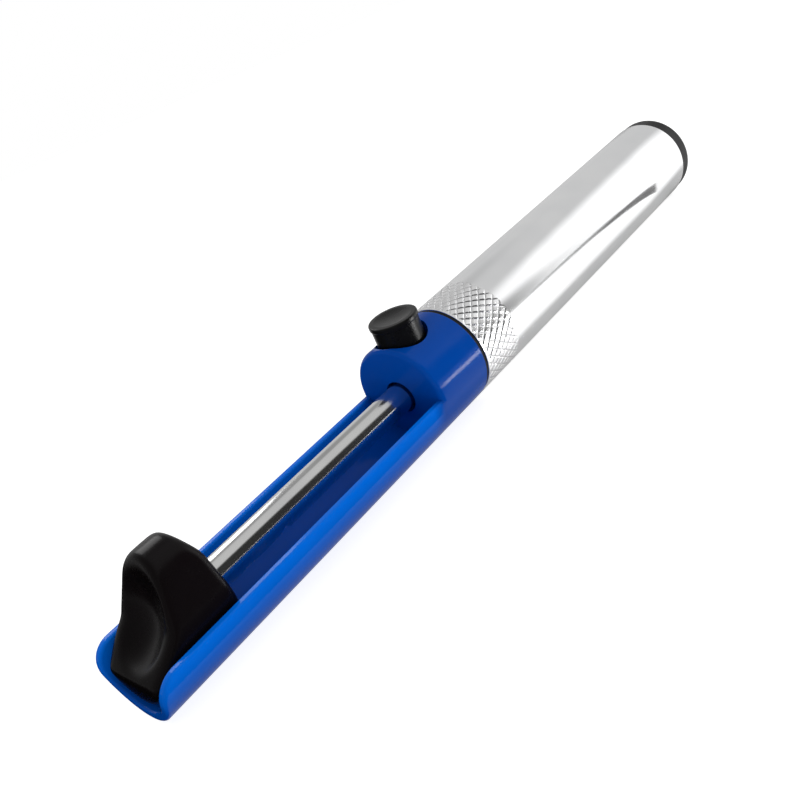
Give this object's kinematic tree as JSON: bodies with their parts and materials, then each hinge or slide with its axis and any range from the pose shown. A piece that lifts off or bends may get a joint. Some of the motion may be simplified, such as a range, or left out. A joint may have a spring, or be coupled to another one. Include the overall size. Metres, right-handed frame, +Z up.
{
  "type": "desoldering pump",
  "caption": "Hand-held spring-loaded desoldering pump: knurled aluminium barrel with a heat-proof nozzle, blue trough handle, thumb-pushed plunger rod and a release button.",
  "frame": {"origin": "middle of the underside: centre of the bounding box in X and Y, on the line that the barrel and handle rest on", "axes": "+Y along the tool's axis towards the nozzle, +Z up through the release button, +X to the right seen from the plunger end"},
  "size_m": [0.02, 0.187, 0.0236],
  "materials": {
    "aluminium_barrel": "turned and polished, diamond-knurled grip band",
    "blue_plastic": "glossy moulded ABS",
    "black_cap_plastic": "semi-gloss moulded nylon",
    "black_button_plastic": "satin moulded plastic",
    "black_knob_plastic": "satin moulded plastic",
    "bright_steel": "ground and polished bar",
    "plated_steel": "zinc plated",
    "spring_steel": "drawn wire",
    "white_ptfe": "waxy heat-proof PTFE",
    "black_rubber": "nitrile rubber",
    "acetal": "natural acetal"
  },
  "bodies": {
    "housing": {"barrel": "aluminium_barrel", "nose_cap": "black_cap_plastic", "nose_cap_o_ring": "black_rubber", "nozzle": "white_ptfe", "nozzle_o_ring": "black_rubber", "front_spring_seat": "plated_steel", "main_spring": "spring_steel", "handle": "blue_plastic", "barrel_gasket": "black_rubber", "rod_bush": "acetal", "bumper_washer": "black_rubber", "button_spring": "spring_steel"},
    "plunger": {"plunger_rod": "bright_steel", "thumb_knob": "black_knob_plastic", "knob_pin": "plated_steel", "piston": "acetal", "piston_o_ring": "black_rubber", "piston_washer": "plated_steel", "piston_nut": "plated_steel", "cleaning_pin": "bright_steel"},
    "release": {"release_button": "black_button_plastic", "latch_plate": "plated_steel"}
  },
  "joints": [
    {"name": "plunger_slide", "type": "slide", "parent": "housing", "child": "plunger", "axis": [0, 1, 0], "range_m": [0, 0.0405], "stiffness_N_per_m": 250, "springref_m": -0.02, "deforming": ["main_spring"]},
    {"name": "button_press", "type": "slide", "parent": "housing", "child": "release", "axis": [0, 0, -1], "range_m": [0, 0.002], "stiffness_N_per_m": 600, "springref_m": -0.001, "deforming": ["button_spring"]}
  ]
}
